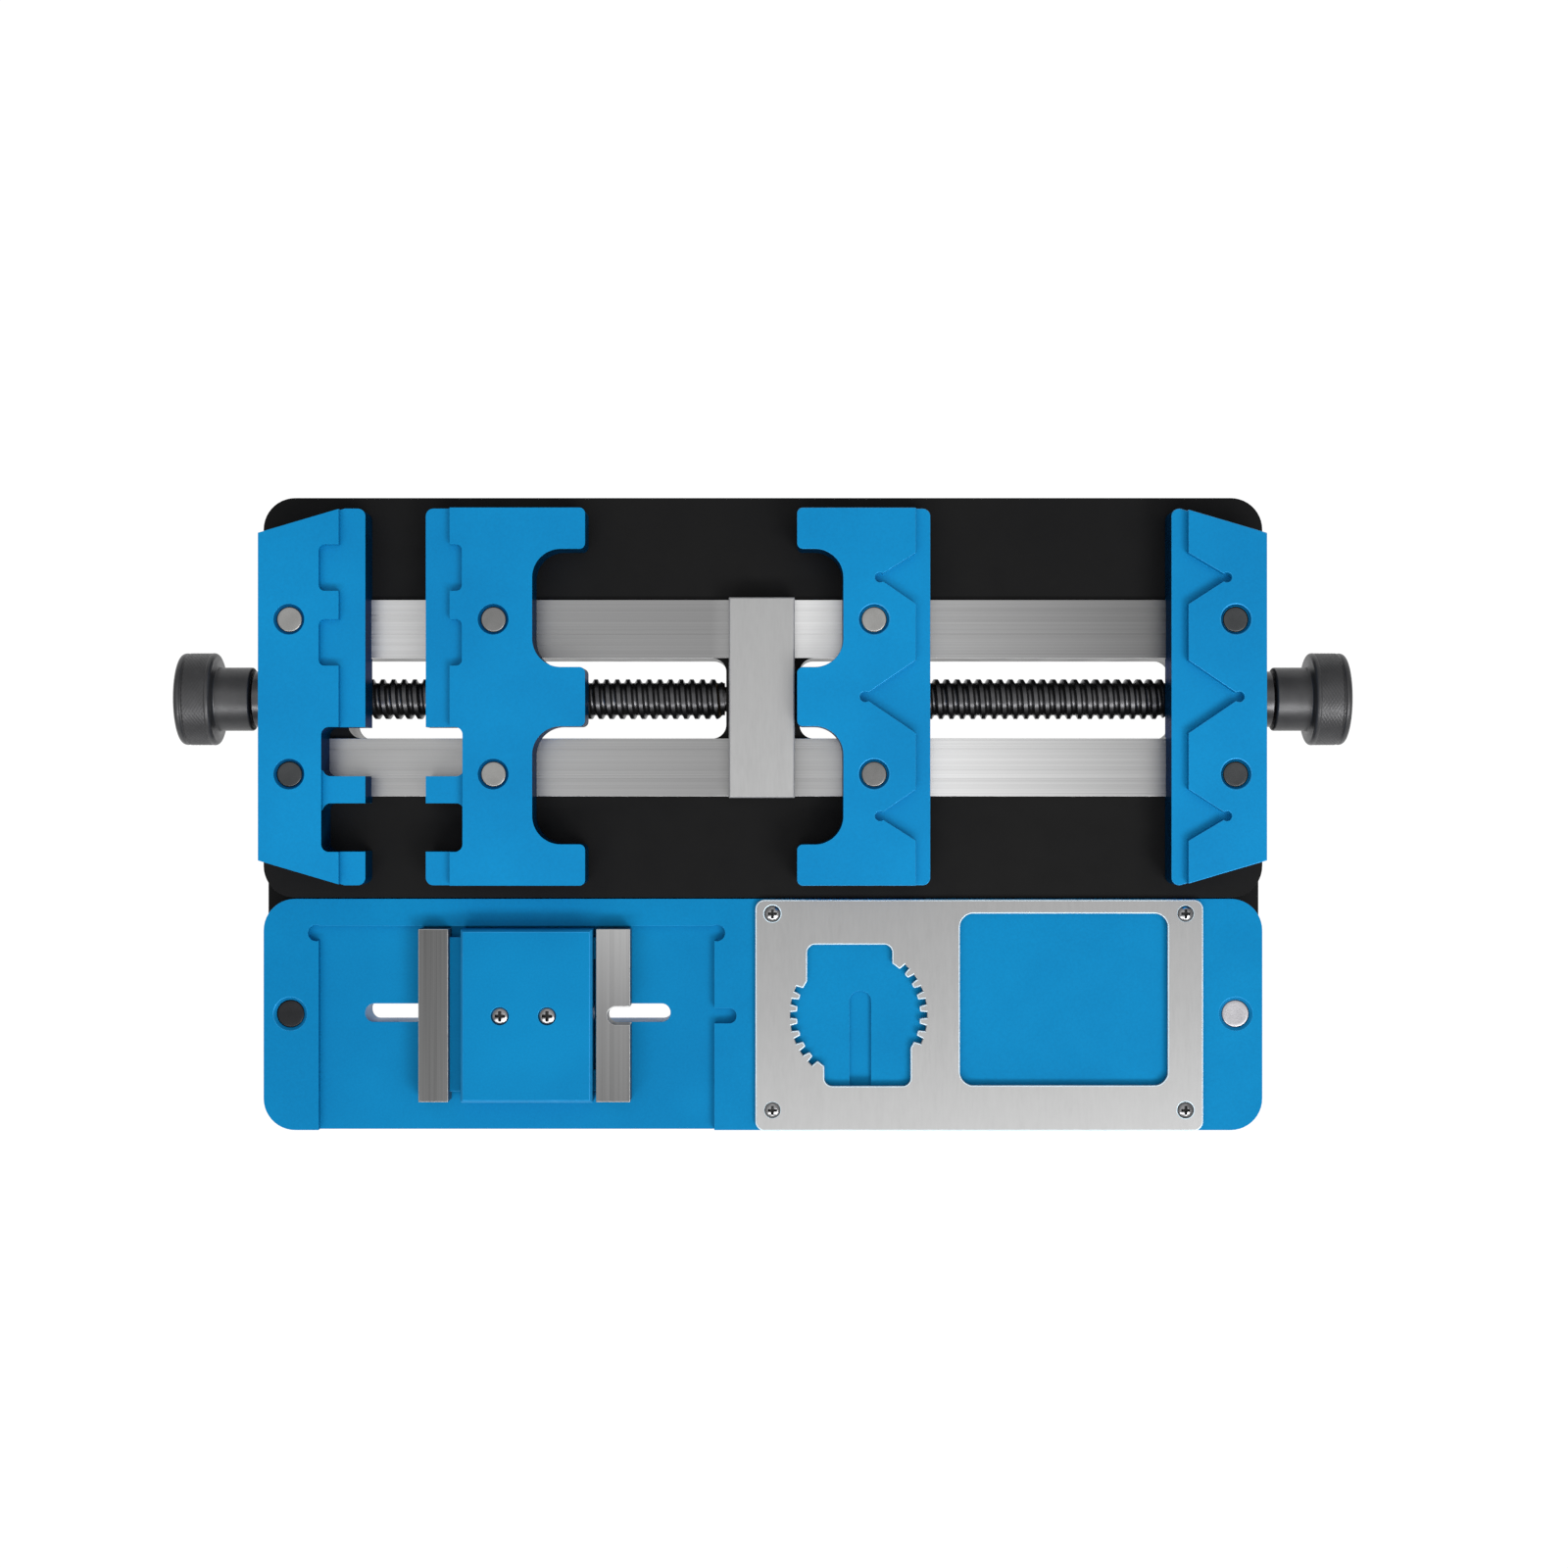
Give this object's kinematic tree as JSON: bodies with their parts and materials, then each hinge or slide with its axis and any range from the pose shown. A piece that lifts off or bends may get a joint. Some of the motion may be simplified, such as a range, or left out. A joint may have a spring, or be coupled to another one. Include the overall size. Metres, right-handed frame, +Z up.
{
  "type": "circuit board holder vise",
  "caption": "Low board holder: two knob-turned lead screws slide notched jaws over steel rails between fixed end jaws, with a chip-clamp tray in front.",
  "frame": {"origin": "centre of the whole part's box at table level", "axes": "+X along the two lead screws, towards the long-travel jaw's knob; +Y from the chip-clamp tray towards the jaws; +Z up from the table"},
  "size_m": [0.186, 0.1, 0.02],
  "materials": {
    "blue_anodised": "satin blue anodising over a fine matt blasted surface",
    "black_plate": "matt black anodising",
    "rail_steel": "lengthwise brushed",
    "satin_steel": "satin, fine grain",
    "blade_steel": "ground, slightly dull",
    "black_steel": "black oxide, oiled, half gloss",
    "knob_grey": "dark grey anodised, finely knurled rim",
    "fastener_steel": "plain machine screws",
    "magnet": "nickel plated, dull from wear",
    "brass": "machined",
    "bronze": "sintered",
    "spring_steel": "drawn wire",
    "rubber": "matt"
  },
  "bodies": {
    "base": {"under_plate": "black_plate", "rubber_feet": "rubber", "under_plate_screws": "fastener_steel", "base_plate": "black_plate", "rear_rail": "rail_steel", "front_rail": "rail_steel", "centre_block": "satin_steel", "centre_block_screws": "fastener_steel", "left_end_jaw": "blue_anodised", "right_end_jaw": "blue_anodised", "end_jaw_screws": "fastener_steel", "end_jaw_magnets": "magnet", "outer_bushes": "black_steel", "inner_bushes": "bronze", "tray": "blue_anodised", "tray_magnets": "magnet", "clamp_housing": "blue_anodised", "clamp_housing_screws": "fastener_steel", "cover_plate": "satin_steel", "cover_plate_screws": "fastener_steel", "left_blade_springs": "spring_steel", "right_blade_springs": "spring_steel"},
    "left_screw": {"left_lead_screw": "black_steel", "left_knob": "knob_grey", "left_set_screw": "fastener_steel"},
    "right_screw": {"right_lead_screw": "black_steel", "right_knob": "knob_grey", "right_set_screw": "fastener_steel"},
    "left_jaw": {"left_slide_jaw": "blue_anodised", "left_nut": "brass", "left_nut_screws": "fastener_steel", "left_jaw_magnets": "magnet"},
    "right_jaw": {"right_slide_jaw": "blue_anodised", "right_nut": "brass", "right_nut_screws": "fastener_steel", "right_jaw_magnets": "magnet"},
    "left_clamp": {"left_blade": "blade_steel", "left_slider": "blue_anodised"},
    "right_clamp": {"right_blade": "blade_steel", "right_slider": "blue_anodised"}
  },
  "joints": [
    {"name": "left_screw_spin", "type": "hinge", "parent": "base", "child": "left_screw", "pos_m": [-0.079, 0.0183, 0.0082], "axis": [-1, 0, 0], "range_deg": [-1845, 4620]},
    {"name": "left_jaw_slide", "type": "slide", "parent": "base", "child": "left_jaw", "axis": [1, 0, 0], "range_m": [-0.0087, 0.0218]},
    {"name": "right_screw_spin", "type": "hinge", "parent": "base", "child": "right_screw", "pos_m": [0.079, 0.0183, 0.0082], "axis": [-1, 0, 0], "range_deg": [0, 7860]},
    {"name": "right_jaw_slide", "type": "slide", "parent": "base", "child": "right_jaw", "axis": [1, 0, 0], "range_m": [0, 0.0371]},
    {"name": "left_clamp_slide", "type": "slide", "parent": "base", "child": "left_clamp", "axis": [-1, 0, 0], "range_m": [0, 0.007], "stiffness_N_per_m": 300, "springref_m": -0.003, "deforming": ["left_blade_springs"]},
    {"name": "right_clamp_slide", "type": "slide", "parent": "base", "child": "right_clamp", "axis": [1, 0, 0], "range_m": [0, 0.006], "stiffness_N_per_m": 300, "springref_m": -0.003, "deforming": ["right_blade_springs"]}
  ],
  "couplings": [
    {"joint": "left_screw_spin", "follows": "left_jaw_slide", "rad_per_m": 3696},
    {"joint": "right_screw_spin", "follows": "right_jaw_slide", "rad_per_m": 3696}
  ]
}
